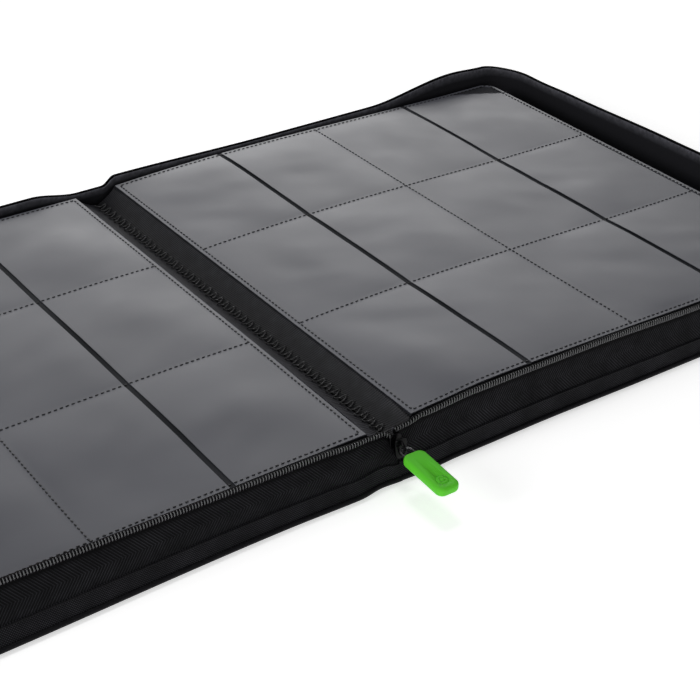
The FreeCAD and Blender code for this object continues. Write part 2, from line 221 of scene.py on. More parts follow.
def tape_material():
    """Zip tape: a raised herringbone of ribs below a plain band beside the coil, with painted
    glints on the ribs.
    """
    m = Material("zip_tape", (0.0019, 0.0019, 0.0022), 0.66, specular=0.06)
    along, height = m.axes("UV")
    point = m.math("ABSOLUTE", m.math("SUBTRACT", height, TAPE_POINT_Z * MM))
    slant = m.math("SUBTRACT", m.times(point, RIB_SLANT), along)
    rib = m.math("POWER", stripes(m, slant, RIB_PITCH), 3.0)
    yarn = stripes(m, m.math("ADD", height, along), YARN_PITCH)
    woven = m.math("MULTIPLY_ADD", rib, 0.8, m.times(yarn, 0.2))
    edge = m.times(m.math("SUBTRACT", TAPE_PLAIN_Z * MM, height), 600.0)
    relief = m.times(woven, m.clamp(edge, 0.08))
    m.bump(relief, 0.30, 1.0)
    # Painted glints: the ribs' tint rises far above the black, patchy by noise.
    m.tint(m.times(relief, m.noise(130.0, 3.0)), 0.7, 27.0)
    m.rough(m.noise(120.0), 0.52, 0.72)
    return m.material


def gusset_material(pitch=1.2):
    """Fine diamond-weave nylon of the gusset wall."""
    m = Material("gusset", (0.0030, 0.0030, 0.0035), 0.68, specular=0.07)
    along, height = m.axes("UV")
    weave = m.times(stripes(m, m.math("ADD", along, height), pitch),
                    stripes(m, m.math("SUBTRACT", along, height), pitch))
    m.bump(weave, 0.18, 1.0)
    m.tint(m.times(weave, m.noise(90.0, 3.0)), 0.6, 25.0)
    m.rough(m.noise(120.0), 0.55, 0.75)
    return m.material


LINING_LIT_Z = 25.6     # where painted light starts to turn the walls' lining paler, with painted shade below
LINING_TURNS_Z = 28.6    # where the coil starts to show through it
TURNS_PITCH = 2.9


def wall_lining_material():
    """Lining of the walls: painted shade keeps it dark low down and painted light turns it
    paler to the rim, where the coil's turns show through it."""
    m = Material("wall_lining", (0.070, 0.070, 0.081), 0.95, specular=0.03)
    along, height = m.axes("UV")
    rise = m.times(m.math("SUBTRACT", height, LINING_LIT_Z * MM), 200.0)
    top = m.times(m.math("SUBTRACT", height, LINING_TURNS_Z * MM), 900.0)
    turns = m.times(m.clamp(top), stripes(m, along, TURNS_PITCH))
    m.bump(m.noise(700.0, 3.0), 0.15, 0.7)
    m.bump(turns, 0.35, 1.0)
    # Painted shade low on the wall and painted light up to the rim, blotched by noise.
    shade = m.times(m.clamp(rise), m.noise(300.0, 3.0))
    m.tint(m.math("MULTIPLY_ADD", turns, 0.10, shade), 0.30, 2.3)
    return m.material


def rib_material(name, tone):
    """Fine-ribbed nylon of a hinge strip, with painted shade darkening it down at the seam."""
    m = Material(name, (tone, tone, 1.2 * tone), 0.46, specular=0.30)
    along, across = m.axes("UV")
    rib = stripes(m, m.math("MULTIPLY_ADD", across, 0.6, along), 1.4)
    cross = stripes(m, m.math("MULTIPLY_ADD", along, -0.6, across), 0.7)
    m.bump(m.math("MULTIPLY_ADD", rib, 0.8, m.times(cross, 0.2)), 0.14, 0.9)
    # Painted shade of the fold: the tint falls to dark near the seam.
    rise = m.math("MINIMUM", m.math("MULTIPLY_ADD", across, 90.0, 0.05), 1.0)
    m.tint(m.times(rise, m.times(rib, m.noise(200.0))), 0.3, 5.2)
    m.rough(m.noise(60.0), 0.36, 0.55)
    return m.material


def pebble_material(name):
    """Pebbled synthetic cloth on the outside of the covers."""
    m = Material(name, (0.0036, 0.0034, 0.0045), 0.60, specular=0.12)
    pebbles = m.node("TexVoronoi", Scale=900.0, Vector=m.coordinates())
    m.bump(pebbles.outputs["Distance"], 0.22, 0.8)
    m.bump(m.noise(60.0, 3.0), 0.4, 0.3)
    m.tint(m.noise(500.0), 0.6, 1.7)
    m.rough(m.noise(90.0), 0.42, 0.60)
    return m.material


def thread_material(name, colour, roughness):
    """Twisted black polyester thread."""
    return grained(name, colour, roughness, (900, 1, 0.6, 1.6), bumps=[(2500, 1, 0.1, 0.6)])


# Satin clear film over black cloth: grey, with a fine matt grain and faint haze.
FILM = grained("pocket_film", (0.083, 0.0855, 0.1035), 0.36, (14, 3, 0.82, 1.16),
               (40, 2, 0.29, 0.42), [(1800, 2, 0.02, 0.35), (60, 2, 0.25, 0.25)])
LEAF_CLOTH = leaf_cloth_material()
THREAD = thread_material("thread", (0.006, 0.006, 0.008), 0.5)
THREAD_GLOSS = thread_material("seam_thread", (0.020, 0.020, 0.022), 0.28)
TAPE = tape_material()
GUSSET = gusset_material()
# Felt-like lining of the covers.
LINING = grained("lining", (0.050, 0.050, 0.054), 0.95, (300, 3, 0.6, 1.5),
                 bumps=[(700, 3, 0.15, 0.7)], specular=0.04)
WALL_LINING = wall_lining_material()
# Lit and shaded copies of one hinge cloth: the front strip's is painted light, the back strip's
# painted shade.
RIB = {"back": rib_material("hinge_cloth", 0.0098),
       "front": rib_material("hinge_cloth_lit", 0.032)}
SKIN = pebble_material("outer_skin")
BINDING = pebble_material("binding")
# Glossy dark nylon of the zip coil.
COIL = grained("coil", (0.034, 0.034, 0.037), 0.22, (120, 2, 0.6, 1.5),
               (300, 2, 0.15, 0.28), specular=1.0)
# Black enamel on the slider and the zip stops.
METAL = grained("black_metal", (0.0016, 0.0016, 0.0021), 0.28, None, (400, 3, 0.18, 0.32),
                [(900, 2, 0.02, 0.4)], specular=0.10)
# Brighter bare wire of the pull's loop.
WIRE = grained("loop_wire", (0.12, 0.12, 0.125), 0.26, None, (500, 3, 0.20, 0.34),
               [(1100, 2, 0.02, 0.4)], Metallic=0.8)
# Matte bright green silicone.
GREEN = grained("green_rubber", (0.106, 0.60, 0.025), 0.58, (60, 2, 0.93, 1.05),
                (500, 2, 0.46, 0.58), [(2200, 2, 0.03, 0.35)], specular=0.2)
BOARD = grained("board", (0.30, 0.27, 0.23), 0.8, (120, 4, 0.8, 1.15))


# ---------------- mesh helpers
def grid_faces(rows, columns, start=0, flip=False):
    """Quads of a rows x columns grid of points."""
    index = np.arange(rows * columns).reshape(rows, columns) + start
    quads = np.stack([index[:-1, :-1], index[1:, :-1], index[1:, 1:], index[:-1, 1:]], -1)
    quads = quads.reshape(-1, 4)
    return quads[:, ::-1] if flip else quads


def add_object(name, data):
    added = bpy.data.objects.new(name, data)
    bpy.context.scene.collection.objects.link(added)
    return added


def make_piece(name, points, faces, material, uv=None, sharp=40.0, flip=False):
    """A mesh object from points in millimetres, smooth but for its sharp edges."""
    mesh = bpy.data.meshes.new(name)
    faces = np.asarray(faces)
    if flip:
        faces = faces[:, ::-1]
    mesh.from_pydata((np.asarray(points) * MM).tolist(), [], faces.tolist())
    if uv is not None:
        layer = mesh.uv_layers.new(name="UVMap")
        loops = np.empty(len(mesh.loops), int)
        mesh.loops.foreach_get("vertex_index", loops)
        layer.data.foreach_set("uv", (np.asarray(uv) * MM)[loops].ravel())
    mesh.materials.append(material)
    mesh.shade_smooth()
    mesh.set_sharp_from_angle(angle=math.radians(sharp))
    return add_object(name, mesh)


def shell_mesh(top, bottom):
    """A closed shell between two grids of points of one shape."""
    rows, columns = top.shape[:2]
    count = rows * columns
    points = np.concatenate([top.reshape(-1, 3), bottom.reshape(-1, 3)])
    index = np.arange(count).reshape(rows, columns)
    rim = np.concatenate([index[:, 0], index[-1, 1:], index[-2::-1, -1], index[0, -2:0:-1]])
    after = np.roll(rim, -1)
    side = np.stack([rim, rim + count, after + count, after], -1)
    faces = np.concatenate([grid_faces(rows, columns), grid_faces(rows, columns, count, True),
                            side[:, ::-1]])
    return points, faces


def half_shell(name, side, top, low, material, uv, sharp=50.0):
    """A closed shell of one half, from points placed as in the back half."""
    sign = (HALVES[side], 1, 1)
    return shell(name, top * sign, low * sign, material, uv, sharp, flip=side == "front")


def shell(name, top, bottom, material, uv=None, sharp=40.0, flip=False):
    """A closed shell as an object; uv is one grid of coordinates for both sides."""
    points, faces = shell_mesh(top, bottom)
    if uv is not None:
        uv = np.concatenate([uv.reshape(-1, 2)] * 2)
    return make_piece(name, points, faces, material, uv, sharp, flip)


def tube_mesh(line, radius, sides=6, closed=False):
    """A round tube along a line of points, by a frame carried along it."""
    line = np.asarray(line, float)
    count = len(line)
    if closed:
        tangent = np.roll(line, -1, 0) - np.roll(line, 1, 0)
    else:
        tangent = np.gradient(line, axis=0)
    tangent /= np.linalg.norm(tangent, axis=1, keepdims=True)
    helper = np.array([0.0, 0.0, 1.0]) if abs(tangent[0, 2]) < 0.9 else np.array([1.0, 0, 0])
    normal = np.empty_like(line)
    current = helper - tangent[0] * (helper @ tangent[0])
    for i in range(count):
        current = current - tangent[i] * (current @ tangent[i])
        current /= np.linalg.norm(current)
        normal[i] = current
    side = np.cross(tangent, normal)
    angle = np.linspace(0, 2 * math.pi, sides, endpoint=False)
    radius = np.broadcast_to(radius, (count,))[:, None, None]
    ring = (normal[:, None] * np.cos(angle)[None, :, None]
            + side[:, None] * np.sin(angle)[None, :, None]) * radius
    points = (line[:, None] + ring).reshape(-1, 3)
    i, j = np.meshgrid(np.arange(count if closed else count - 1), np.arange(sides),
                       indexing="ij")
    ahead, around = (i + 1) % count, (j + 1) % sides
    faces = np.stack([i * sides + j, i * sides + around, ahead * sides + around,
                      ahead * sides + j], -1).reshape(-1, 4)
    return points, faces


def tube(name, line, radius, material, sides=8):
    """An open tube as an object, with its ends closed."""
    points, faces = cap_tube(*tube_mesh(line, radius, sides), line, sides)
    return make_piece(name, points, faces, material, sharp=60.0)


def cap_tube(points, faces, line, sides):
    """Close a tube's two ends with a fan to a middle point, as folded quads."""
    first, last = len(points), len(points) + 1
    points = np.concatenate([points, [line[0], line[-1]]])
    end = (len(line) - 1) * sides
    fans = []
    for j in range(0, sides, 2):
        a, b, c = j, (j + 1) % sides, (j + 2) % sides
        fans.append([first, c, b, a])
        fans.append([last, end + a, end + b, end + c])
    return points, np.concatenate([faces, fans])


def ease(t):
    """A soft step from 0 at t = 0 to 1 at t = 1."""
    t = np.clip(t, 0, 1)
    return t * t * (3 - 2 * t)


def through(x, knots):
    """A smooth line through a list of (place, value) pairs."""
    at, value = np.array(knots, float).T
    index = np.clip(np.searchsorted(at, x) - 1, 0, len(at) - 2)
    share = ease((x - at[index]) / (at[index + 1] - at[index]))
    return value[index] + (value[index + 1] - value[index]) * share


def field(x, y, scale, seed):
    """Smooth noise over two arrays, from about -1 to 1."""
    flat = [noise.noise((a / scale, b / scale, seed)) for a, b in zip(x.ravel(), y.ravel())]
    return np.array(flat).reshape(x.shape)


def fit(piece, body, slot, *nodes):
    """Put a piece on a body, in place of its CAD nodes. The slot is not used."""
    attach(piece, body)
    if nodes:
        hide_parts(*nodes)


def join(name, pieces):
    """Join mesh objects into the first one and name it."""
    bpy.ops.object.select_all(action="DESELECT")
    for piece in pieces:
        piece.select_set(True)
    bpy.context.view_layer.objects.active = pieces[0]
    bpy.ops.object.join()
    pieces[0].name = name
    return pieces[0]


# ---------------- leaves
# How the top leaf of each half lies: its height above flat, in millimetres, at the
# inner edge stitches, the three inner column lines and the outer edge stitches.
LEAF_LIE = {"back": (-0.6, 1.2, 0.1, -1.2, -2.0), "front": (0.3, 0.6, -1.2, -1.8, -1.9)}
NEAR_LIFT = {"back": [(0, 0), (14, 0.2), (42, 1.2), (110, 0.2), (273, 0.2)],
             "front": [(0, -0.6), (30, -1.0), (273, -1.3)]}
COLUMN_AT = MARGIN + POCKET_WIDE * np.arange(5)
ROW_AT = POCKET_LONG * (np.arange(4) - 1.5)
CROWN = {side: np.polyfit(COLUMN_AT / LEAF_WIDE, lie, 3) for side, lie in LEAF_LIE.items()}


def leaf_frame(side, step):
    """Inner edge X and the backing's top height of the leaf this far below the top."""
    name = f"{LEAF_NAME[side]}_leaf_backing" if step == 0 else f"{side}_leaf_backing_{step}"
    low, high = corners(name)
    inner = min(abs(low[0]), abs(high[0]))
    return inner, high[2]


def leaf_height(side, step, u, v):
    """Height of a leaf's backing over its flat place, at u across and v along."""
    share = 1 - step / (LOWER_LEAVES + 1)
    lie = np.polyval(CROWN[side], np.clip(u / LEAF_WIDE, 0, 1))
    wave = 0.35 * field(u, v, 75.0, 3.1 * step + HALVES[side])
    near = ease((-v - 0.35 * LEAF_HALF) / (0.65 * LEAF_HALF))
    return share * (lie + wave + near * through(u, NEAR_LIFT[side]))


def round_corners(u, v, inset):
    """Pull points near the leaf's two outer corners in to its rounded outline."""
    radius = LEAF_CORNER - inset
    cu = LEAF_WIDE - LEAF_CORNER
    cv = LEAF_HALF - LEAF_CORNER
    du, dv = u - cu, np.abs(v) - cv
    reach = np.hypot(du, dv)
    outside = (du > 0) & (dv > 0) & (reach > radius)
    scale = np.where(outside, radius / np.maximum(reach, 1e-6), 1.0)
    u = np.where(outside, cu + du * scale, u)
    v = np.where(outside, np.sign(v) * (cv + dv * scale), v)
    return u, v


def spaced(stops, spacing):
    """A run of values that passes through each stop, at about the given spacing."""
    values = [stops[0]]
    for start, end in zip(stops, stops[1:]):
        cells = max(1, round((end - start) / spacing))
        values.extend(np.linspace(start, end, cells + 1)[1:])
    return np.array(values)


def lift(side, step, face, u, v):
    """How far the film stands off the backing: pinned at the stitches, free at mouths."""
    seed = 11.0 * step + 5.0 * HALVES[side] + 2.0 * face
    to_column = np.min(np.abs(u[..., None] - COLUMN_AT[[0, 2, 4]]), axis=-1)
    across = np.sin(np.pi * np.clip(to_column / (1.22 * POCKET_WIDE), 0, 1)) ** 0.8
    along = np.abs(np.sin(np.pi * (v - ROW_AT[0]) / POCKET_LONG)) ** 0.65
    inside = (u > COLUMN_AT[0]) & (u < COLUMN_AT[4]) & (np.abs(v) < ROW_AT[3])
    column = np.floor((u - COLUMN_AT[0]) / POCKET_WIDE)
    row = np.floor((v - ROW_AT[0]) / POCKET_LONG)
    fullness = 0.62 + 0.45 * np.modf(np.abs(np.sin(column * 12.99 + row * 78.2 + seed)) * 43.7)[0]
    broad = field(u, 0.8 * v, 44.0, seed)
    fine = field(u + 0.6 * v, v, 21.0, seed + 3)
    pucker = field(u, v, 6.5, seed + 7) * np.clip(1 - to_column / 11.0, 0, 1)
    stand = fullness + 1.05 * broad + 0.24 * fine + 0.30 * pucker
    return np.where(inside, across * along * np.clip(stand, 0.06, 2.4), 0.0)


# How far the cut corner reaches along the far edge and along the fore edge.
CORNER_REACH = (36.0, 19.0)
BORDER_WIDE, BORDER_OVERLAP = 1.75, 1.5


def corner_border(inner, top):
    """The narrow film edging that stays round the cut corner."""
    reach_u, reach_v = CORNER_REACH
    turn = np.linspace(math.pi / 2, 0, 12)
    rows = []
    for inset in (FILM_EDGE, FILM_EDGE + BORDER_WIDE):
        radius = LEAF_CORNER - inset
        bend = [(LEAF_WIDE - LEAF_CORNER + radius * math.cos(a),
                 LEAF_HALF - LEAF_CORNER + radius * math.sin(a)) for a in turn]
        start = (LEAF_WIDE - reach_u + BORDER_OVERLAP, LEAF_HALF - inset)
        end = (LEAF_WIDE - inset, LEAF_HALF - reach_v + BORDER_OVERLAP)
        rows.append([start, *bend, end])
    u, v = np.moveaxis(np.array(rows), -1, 0)
    z = top + leaf_height("back", 0, u, v) + FILM_CLEAR
    upper = to_world("back", inner, u, v, z + FILM_THICK)
    lower = to_world("back", inner, u, v, z)
    uv = np.stack([u, v], -1)
    return shell("corner_border", upper, lower, FILM, uv, 50.0, flip=True)


def cut_corner(film, inner):
    """Cut the film's far outer corner off along a slanting line, baring the cloth."""
    reach_u, reach_v = CORNER_REACH
    on_edge = Vector(((inner + LEAF_WIDE - reach_u) * MM, LEAF_HALF * MM, 0))
    outward = Vector((reach_v, reach_u, 0)).normalized()
    work = bmesh.new()
    work.from_mesh(film.data)
    cut = bmesh.ops.bisect_plane(work, geom=work.verts[:] + work.edges[:] + work.faces[:],
                                 plane_co=on_edge, plane_no=outward, clear_outer=True)
    rim = [part for part in cut["geom_cut"] if isinstance(part, bmesh.types.BMEdge)]
    bmesh.ops.edgenet_fill(work, edges=rim)
    work.to_mesh(film.data)
    work.free()


def to_world(side, inner, u, v, z):
    """Points from a leaf's own u, v and height to the binder's frame."""
    return np.stack([HALVES[side] * (inner + u), v, z], -1)


def film_piece(side, step, face, spacing):
    """The three film strips on one face of a leaf; face is 1 above and -1 below."""
    inner, top = leaf_frame(side, step)
    base = top if face > 0 else top - BACKING_THICK
    half_gap = MOUTH_GAP / 2
    u_runs = [
        spaced([FILM_EDGE, COLUMN_AT[0], COLUMN_AT[1] - half_gap], spacing),
        spaced([COLUMN_AT[1] + half_gap, COLUMN_AT[2], COLUMN_AT[3] - half_gap], spacing),
        spaced([COLUMN_AT[3] + half_gap, COLUMN_AT[4], LEAF_WIDE - FILM_EDGE], spacing),
    ]
    v_run = spaced([FILM_EDGE - LEAF_HALF, *ROW_AT, LEAF_HALF - FILM_EDGE], spacing)
    slit = side == "back" and step == 0 and face > 0
    if slit:
        u_runs[2:] = [u_runs[2][u_runs[2] < COLUMN_AT[4] - 0.1],
                      np.linspace(COLUMN_AT[4] - 0.5, LEAF_WIDE - FILM_EDGE, 4)]
    points, faces, uvs, total = [], [], [], 0
    for number, u_run in enumerate(u_runs):
        u, v = np.meshgrid(u_run, v_run, indexing="ij")
        if slit and number == 2:
            # The outer pockets' film gapes a little off the sewn border.
            gape = 0.9 * ease((ROW_AT[2] - v[-1]) / 12.0) * ease((v[-1] - ROW_AT[0]) / 30.0)
            u[-1] = COLUMN_AT[4] - 0.55 - gape
        stand = lift(side, step, face, u, v) + FILM_CLEAR
        u, v = round_corners(u, v, FILM_EDGE)
        z = base + leaf_height(side, step, u, v) + face * stand
        near = to_world(side, inner, u, v, z)
        far = to_world(side, inner, u, v, z + face * FILM_THICK)
        top_side, low_side = (far, near) if face > 0 else (near, far)
        strip_points, strip_faces = shell_mesh(top_side, low_side)
        points.append(strip_points)
        faces.append(strip_faces + total)
        uvs.append(np.concatenate([np.stack([u, v], -1).reshape(-1, 2)] * 2))
        total += len(strip_points)
    name = f"{LEAF_NAME[side]}_leaf_{step}_film_{'over' if face > 0 else 'under'}"
    film = make_piece(name, np.concatenate(points), np.concatenate(faces), FILM,
                      np.concatenate(uvs), 50.0, flip=side == "front")
    if slit:
        cut_corner(film, inner)
        film = join(film.name, [film, corner_border(inner, top)])
    return film


def backing_piece(side, step, spacing):
    """A leaf's backing cloth, a thin plate with a rounded outline."""
    inner, top = leaf_frame(side, step)
    u_run = spaced([0, MARGIN, *COLUMN_AT[1:4], LEAF_WIDE - LEAF_CORNER, LEAF_WIDE], spacing)
    v_run = spaced([-LEAF_HALF, LEAF_CORNER - LEAF_HALF, LEAF_HALF - LEAF_CORNER, LEAF_HALF],
                   spacing)
    u, v = np.meshgrid(u_run, v_run, indexing="ij")
    u, v = round_corners(u, v, 0.0)
    z = top + leaf_height(side, step, u, v)
    upper = to_world(side, inner, u, v, z)
    lower = to_world(side, inner, u, v, z - BACKING_THICK)
    return shell(f"{LEAF_NAME[side]}_leaf_{step}_backing", upper, lower, LEAF_CLOTH,
                 flip=side == "front")


STITCH_LONG, STITCH_RADIUS, STITCH_FLAT = 1.7, 0.46, 0.8


def capsule(length, radius, sides=8):
    """A short thread capsule along X, as points and quads."""
    stops = np.array([-0.5, -0.46, -0.30, 0.0, 0.30, 0.46, 0.5]) * length
    radii = np.array([0.12, 0.62, 0.95, 1.0, 0.95, 0.62, 0.12]) * radius
    line = np.stack([stops, 0 * stops, 0 * stops], -1)
    return tube_mesh(line, radii, sides)


def stitch_piece(side, step, face):
    """Every stitch seen on one face of a leaf."""
    inner, top = leaf_frame(side, step)
    base = top if face > 0 else top - BACKING_THICK
    place_u, place_v, turn = [], [], []
    for row in ROW_AT:
        run = np.arange(COLUMN_AT[0] + STITCH_PITCH / 2, COLUMN_AT[4], STITCH_PITCH)
        place_u.append(run), place_v.append(np.full_like(run, row))
        turn.append(np.zeros_like(run))
    for column in COLUMN_AT[[0, 2, 4]]:
        run = np.arange(ROW_AT[0] + STITCH_PITCH / 2, ROW_AT[3], STITCH_PITCH)
        place_u.append(np.full_like(run, column)), place_v.append(run)
        turn.append(np.full_like(run, math.pi / 2))
    u, v, turn = (np.concatenate(part) for part in (place_u, place_v, turn))
    rng = np.random.default_rng(17 + step + 3 * face)
    turn = turn + rng.normal(0, 0.10, len(turn))
    z = base + leaf_height(side, step, u, v) + face * (FILM_THICK + 0.12)
    mouth = np.min(np.abs(u[:, None] - COLUMN_AT[[1, 3]]), axis=1) < MOUTH_GAP / 2
    z = np.where(mouth, z - face * FILM_THICK, z)
    points, faces = capsule(STITCH_LONG, STITCH_RADIUS)
    points = points * (1, 1, STITCH_FLAT)
    cos, sin = np.cos(turn)[:, None], np.sin(turn)[:, None]
    x = points[:, 0] * cos - points[:, 1] * sin + u[:, None]
    y = points[:, 0] * sin + points[:, 1] * cos + v[:, None]
    everything = to_world(side, inner, x, y, points[:, 2] + z[:, None])
    all_faces = faces[None] + len(points) * np.arange(len(u))[:, None, None]
    name = f"{LEAF_NAME[side]}_leaf_{step}_stitches_{'over' if face > 0 else 'under'}"
    return make_piece(name, everything.reshape(-1, 3), all_faces.reshape(-1, 4), THREAD,
                      sharp=80.0, flip=side == "front")


# How far apart a mesh's points are on the seen films, the top backings and hidden layers.
FINE, MIDDLE, COARSE = 3.4, 6.0, 12.0


def build_leaves():
    """The top leaf of each half, then the nine leaves that lie below it."""
    for side in HALVES:
        short, turned, pages = LEAF_NAME[side], TURNED[side], f"{side}_pages"
        backing = backing_piece(side, 0, MIDDLE)
        fit(backing, turned, "leaf_cloth", f"{short}_leaf_backing")
        for face, node in ((1, "top"), (-1, "under")):
            film = film_piece(side, 0, face, FINE)
            fit(film, turned, "pocket_film", f"{short}_leaf_{node}_pockets")
            stitched = [f"{short}_leaf_stitching"] if face > 0 else []
            fit(stitch_piece(side, 0, face), turned, "thread", *stitched)
        films = []
        for step in range(1, LOWER_LEAVES + 1):
            lower = backing_piece(side, step, COARSE)
            fit(lower, pages, "leaf_cloth", f"{side}_leaf_backing_{step}")
            for face in (1, -1):
                shown = step == 1 and face > 0
                films.append(film_piece(side, step, face, FINE if shown else COARSE))
        block = join(f"{side}_leaf_films", films)
        fit(block, pages, "pocket_film", f"{side}_leaf_pockets")
        fit(stitch_piece(side, 1, 1), pages, "thread")


# ---------------- walls, tape and coil
def rim_path():
    """The top line of one half's wall, from the near spine end round to the far one."""
    near = [(x, -RIM_Y, 0, -1) for x in spaced([0, 42], 1.5)]
    near += [(x, -RIM_Y, 0, -1) for x in spaced([42, RIM_X - RIM_CORNER], 5)[1:]]
    corner_x, corner_y = RIM_X - RIM_CORNER, RIM_Y - RIM_CORNER
    turn = np.linspace(-math.pi / 2, 0, 15)[1:]
    bend = [(corner_x + RIM_CORNER * math.cos(a), -corner_y + RIM_CORNER * math.sin(a),
             math.cos(a), math.sin(a)) for a in turn]
    fore = [(RIM_X, y, 1, 0) for y in spaced([-corner_y, 0], 5)[1:]]
    quarter = near + bend + fore
    mirror = [(x, -y, nx, -ny) for x, y, nx, ny in reversed(quarter[:-1])]
    path = np.array(quarter + mirror)
    step = np.linalg.norm(np.diff(path[:, :2], axis=0), axis=1)
    return path[:, :2], path[:, 2:], np.concatenate([[0], np.cumsum(step)])


def wall_out(z):
    """How far outside the rim the wall's face stands at a height."""
    t = np.clip((z - COVER_FLOOR) / (RIM_Z - COVER_FLOOR), -0.2, 1)
    return LEAN * (1 - t) ** 1.25 + 0.9 * np.sin(np.pi * np.clip(t, 0, 1))


# Lines of (place, value) pairs, along X on the near and far walls and along Y on the
# fore-edge wall: how far the rim stands over its plain height. Closed, one half's rise
# meets the other's fall.
FAR_RIM = [(0, -4.0), (6, -4.0), (16, -0.6), (120, -1.8), (195, -1.8), (262, 4.2), (285, 3.2),
           (305, 0.6)]
FORE_RIM = [(-150, 3.4), (-100, 3.4), (0, 1.8), (90, 0.2), (120, -0.7), (150, -0.5)]
RIM_LINE = {
    "back": {
        "near": [(0, -2.8), (5, -2.6), (16, -0.4), (45, 1.5), (118, 1.5), (190, -0.6),
                 (305, -0.4)],
        "far": FAR_RIM, "fore": FORE_RIM,
    },
    "front": {
        "near": [(0, -7.0), (7, -2.9), (24, -2.8), (38, -1.8), (305, -1.4)],
        "far": [(0, -4.0), (9, -4.0), (37, -0.8), (200, -0.8), (262, -5.0), (305, -1.6)],
        "fore": [(at, -value) for at, value in FORE_RIM],
    },
}
# How much more the fore-edge wall leans out at its near end, and how far the near wall's
# foot stands out.
FORE_LEAN = {"back": 3.0, "front": 0.0}
FOOT_OUT = {"back": [(0, 0.6), (14, 1.0), (34, 0.0), (90, -0.6), (150, 0.0), (305, 0.0)],
            "front": [(0, 0.8), (10, 0.2), (24, 2.2), (60, 1.6), (230, 5.6), (290, 5.0),
                      (310, 0.0)]}


WALL_REACH = 20


def foot_out(x, side):
    """How far the near wall's foot stands out."""
    return through(x, FOOT_OUT[side])


def beside(value, wall):
    """From 0 well inside a wall to 1 at it."""
    return ease((value - wall + WALL_REACH) / WALL_REACH)


def settle(points, along, side):
    """Shape the straight sweep as open cloth walls stand: an uneven rim, dips at the
    spine, the fore edge leaning out, a slumping foot and wrinkles."""
    x, y, z = np.moveaxis(points, -1, 0)
    height = np.clip((z - COVER_FLOOR) / (RIM_Z - COVER_FLOOR), 0, 1.2)
    near, far, fore = beside(-y, RIM_Y), beside(y, RIM_Y), beside(x, RIM_X)
    line = RIM_LINE[side]
    far_rise = through(x, line["far"])
    rise = near * through(x, line["near"]) + far * far_rise + fore * through(y, line["fore"])
    to_near = np.clip((100 - y) / 200, 0, 1)
    lean = 3.0 + FORE_LEAN[side] * to_near
    out_far = 3.2 + np.where(far_rise < 0, 0.6, 0.35) * far_rise
    crease = ease(1 - x / 48.0) * (near + far)
    ripple = field(x * 1.6, z * 0.9, 7.0, 4.4) + 0.5 * field(x * 2.5 + z, z, 4.0, 8.2)
    soft = 0.34 * field(along, z, 38.0, 1.7) + 0.14 * field(along, z, 12.0, 6.1)
    fold = (crease * 0.85 * ripple + soft) * np.sin(np.pi * np.clip(height, 0, 1)) ** 0.7
    foot = foot_out(x, side) * np.clip(1 - height, 0, 1)
    x = x + fore * (lean * height + fold)
    y = y + far * (height * out_far + fold) - near * (fold + foot)
    return np.stack([x, y, z + rise * height], -1)


def sweep(profile, path, normals, along, side, near_top=None):
    """A profile of (out, z) pairs swept along the rim path, shaped by settle. The near
    wall's part stops near_top over the rim line."""
    out, z = np.array(profile).T
    xy = path[:, None] + normals[:, None] * out[None, :, None]
    flat = np.broadcast_to(z, xy.shape[:2])
    if near_top is not None:
        near = beside(-xy[..., 1], RIM_Y)
        flat = flat - near * np.maximum(flat - RIM_Z - near_top, 0)
    run = np.broadcast_to(along[:, None], xy.shape[:2])
    return settle(np.concatenate([xy, flat[..., None]], -1), run, side)


def swept_shell(name, heights, offset, thick, material, side, near_top=None):
    """A wall strip between two heights, standing offset outside the wall's face."""
    path, normals, along = rim_path()
    face = wall_out(heights)
    outer, inner = (sweep(np.stack([face + out, heights], -1), path, normals, along, side,
                          near_top) for out in (offset, offset - thick))
    uv = np.stack(np.meshgrid(along, heights, indexing="ij"), -1)
    strip = half_shell(name, side, outer, inner, material, uv)
    return strip


def bend(piece, side, start, end):
    """Bake a piece's transform into its mesh. The side, start and end are not used."""
    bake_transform(piece)


WALL_BEND = (2, 34)
COIL_PITCH, COIL_WIRE, POINTS_A_TURN = 1.45, 0.34, 12


def coil_piece(side):
    """The nylon coil on the tape's top edge: one long squarish helix along the rim."""
    path, normals, along = rim_path()
    length = along[-1]
    t = np.linspace(0, length, int(length / COIL_PITCH) * POINTS_A_TURN + 1)
    nx, ny = (np.interp(t, along, normals[:, axis]) for axis in (0, 1))
    angle = 2 * math.pi * t / COIL_PITCH
    # Each squarish turn stands upright outside and moves on, lower down, inside.
    square = np.sign(np.cos(angle)) * np.abs(np.cos(angle)) ** 0.45
    out = 0.65 + 0.5 * square
    up = RIM_Z + 0.1 + 1.15 * np.sin(angle) - 0.75 * (1 - square)
    run = t - COIL_PITCH / (2 * math.pi) * np.sin(angle)
    x, y = (np.interp(run, along, path[:, axis]) for axis in (0, 1))
    line = np.stack([x + nx * out, y + ny * out, up], -1)
    line = settle(line[:, None], t[:, None], side)[:, 0]
    points, faces = tube_mesh(line, COIL_WIRE, 6)
    return make_piece(f"{side}_coil", points * (HALVES[side], 1, 1), faces, COIL,
                      sharp=80.0, flip=side == "front")


def rim_tube(name, side, out, height, radius, sides=8):
    """A cord of binding along the wall, at one place of its profile."""
    line = sweep([(out, height)], *rim_path(), side)[:, 0] * (HALVES[side], 1, 1)
    return tube(name, line, radius, BINDING, sides)


